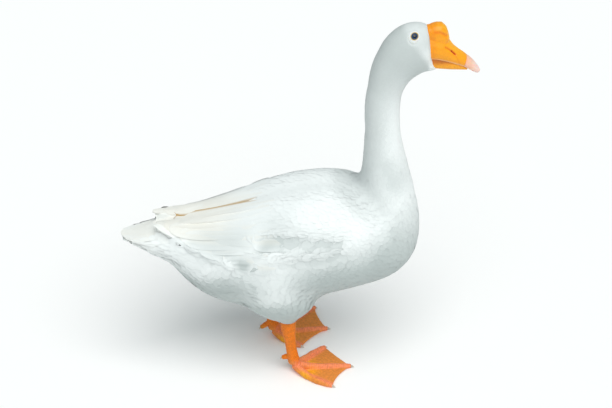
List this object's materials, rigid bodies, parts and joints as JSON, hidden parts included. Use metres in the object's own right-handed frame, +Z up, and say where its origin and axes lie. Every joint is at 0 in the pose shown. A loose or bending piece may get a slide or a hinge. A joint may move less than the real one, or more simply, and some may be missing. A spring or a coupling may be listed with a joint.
{
  "type": "domestic goose",
  "caption": "White Chinese-type domestic goose with a small knob at the base of its bill, standing with wings folded and neck upright; a still, life-size model.",
  "frame": {"origin": "on the floor, under the middle of the whole goose's bounding box", "axes": "+X the way the goose faces, +Y its left side, +Z up"},
  "size_m": [0.5702, 0.2444, 0.6058],
  "materials": {
    "feather": "soft matt white plumage with faint grey shading",
    "wing_feather": "smooth matt white quill feathers, stained cream towards the tips",
    "bill_skin": "smooth orange skin with a soft sheen",
    "bill_nail": "pale pink horn, satin",
    "eye": "wet blue eye with a dark pupil",
    "leg_skin": "scaly orange skin, pinker along the toes",
    "claw": "pale grey-brown horn"
  },
  "bodies": {
    "root": {"trunk": "feather", "tail": "feather", "neck_lower": "feather", "neck_middle": "feather", "neck_upper": "feather", "head": "feather", "thigh_right": "feather", "thigh_left": "feather", "wing_right": "wing_feather", "wing_left": "wing_feather", "flights_right": "wing_feather", "flights_left": "wing_feather", "bill_upper": "bill_skin", "bill_knob": "bill_skin", "bill_lower": "bill_skin", "bill_nail": "bill_nail", "eye_right": "eye", "eye_left": "eye", "shank_right": "leg_skin", "toe_hind_right": "leg_skin", "foot_right": "leg_skin", "claw_inner_right": "claw", "claw_middle_right": "claw", "claw_outer_right": "claw", "claw_hind_right": "claw", "shank_left": "leg_skin", "toe_hind_left": "leg_skin", "foot_left": "leg_skin", "claw_inner_left": "claw", "claw_middle_left": "claw", "claw_outer_left": "claw", "claw_hind_left": "claw"}
  },
  "joints": []
}
